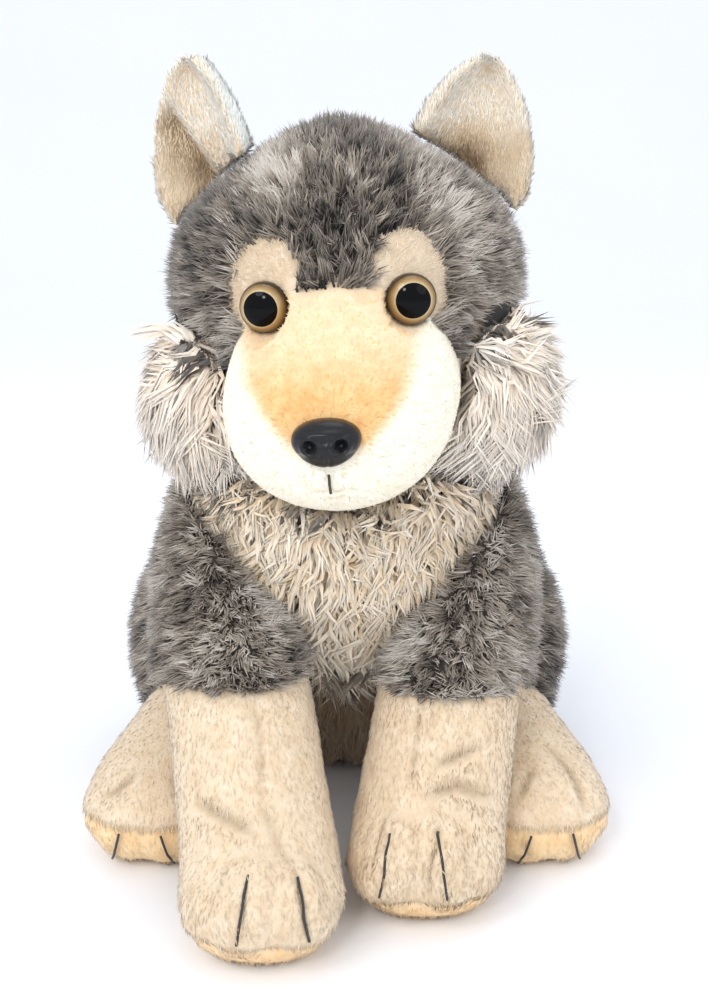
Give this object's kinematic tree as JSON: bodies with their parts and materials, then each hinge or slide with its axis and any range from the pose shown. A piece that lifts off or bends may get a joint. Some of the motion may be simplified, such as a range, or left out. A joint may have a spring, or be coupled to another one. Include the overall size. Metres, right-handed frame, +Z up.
{
  "type": "plush wolf",
  "caption": "Seated plush wolf with a mottled grey coat, long beige chest bib and cheek ruffs, cream muzzle, moulded eyes and nose, front paws stretched forward and a curled tail.",
  "frame": {"origin": "on the floor, under the middle of the whole wolf", "axes": "+Z up; the wolf faces -Y; +X towards the wolf's own left, which is the viewer's right"},
  "size_m": [0.2094, 0.2921, 0.2993],
  "materials": {
    "coat": "mottled grey and brown pile, about 6 mm long, with pale tips",
    "beige_pile": "short dense beige pile, matt",
    "long_pile": "long beige pile in loose locks, matt, darker at the roots",
    "cream_pile": "very short cream pile, air-brushed tan along the top of the muzzle",
    "sole_pile": "short tan pile, matt",
    "ear_back": "short pale grey pile, matt",
    "filling": "loose white polyester fibre",
    "eye_plastic": "glossy amber brown",
    "pupil_plastic": "glossy black",
    "nose_plastic": "satin black",
    "washer_plastic": "plain moulded, hidden inside",
    "thread": "black sewing thread"
  },
  "bodies": {
    "root": {"back_panel_left": "coat", "back_panel_right": "coat", "belly_panel": "long_pile", "brow_patch_left": "beige_pile", "brow_patch_right": "beige_pile", "cheek_ruff_left": "long_pile", "cheek_ruff_right": "long_pile", "chest_bib": "long_pile", "chin_cover": "cream_pile", "ear_back_left": "ear_back", "ear_back_right": "ear_back", "ear_front_left": "beige_pile", "ear_front_right": "beige_pile", "eye_left": "eye_plastic", "eye_right": "eye_plastic", "eye_washer_left": "washer_plastic", "eye_washer_right": "washer_plastic", "foot_cover_left": "beige_pile", "foot_cover_right": "beige_pile", "foreleg_cover_left": "beige_pile", "foreleg_cover_right": "beige_pile", "front_leg_filling_left": "filling", "front_leg_filling_right": "filling", "front_sole_left": "sole_pile", "front_sole_right": "sole_pile", "head_filling": "filling", "head_gusset": "coat", "head_side_left": "coat", "head_side_right": "coat", "hind_leg_filling_left": "filling", "hind_leg_filling_right": "filling", "hind_sole_left": "sole_pile", "hind_sole_right": "sole_pile", "mouth_thread": "thread", "muzzle_cover": "cream_pile", "nose": "nose_plastic", "nose_washer": "washer_plastic", "pupil_left": "pupil_plastic", "pupil_right": "pupil_plastic", "sleeve_left": "coat", "sleeve_right": "coat", "tail_cover": "coat", "tail_filling": "filling", "thigh_left": "coat", "thigh_right": "coat", "toe_thread_front_left_inner": "thread", "toe_thread_front_left_outer": "thread", "toe_thread_front_right_inner": "thread", "toe_thread_front_right_outer": "thread", "toe_thread_hind_left_inner": "thread", "toe_thread_hind_left_outer": "thread", "toe_thread_hind_right_inner": "thread", "toe_thread_hind_right_outer": "thread", "torso_filling": "filling"}
  },
  "joints": []
}
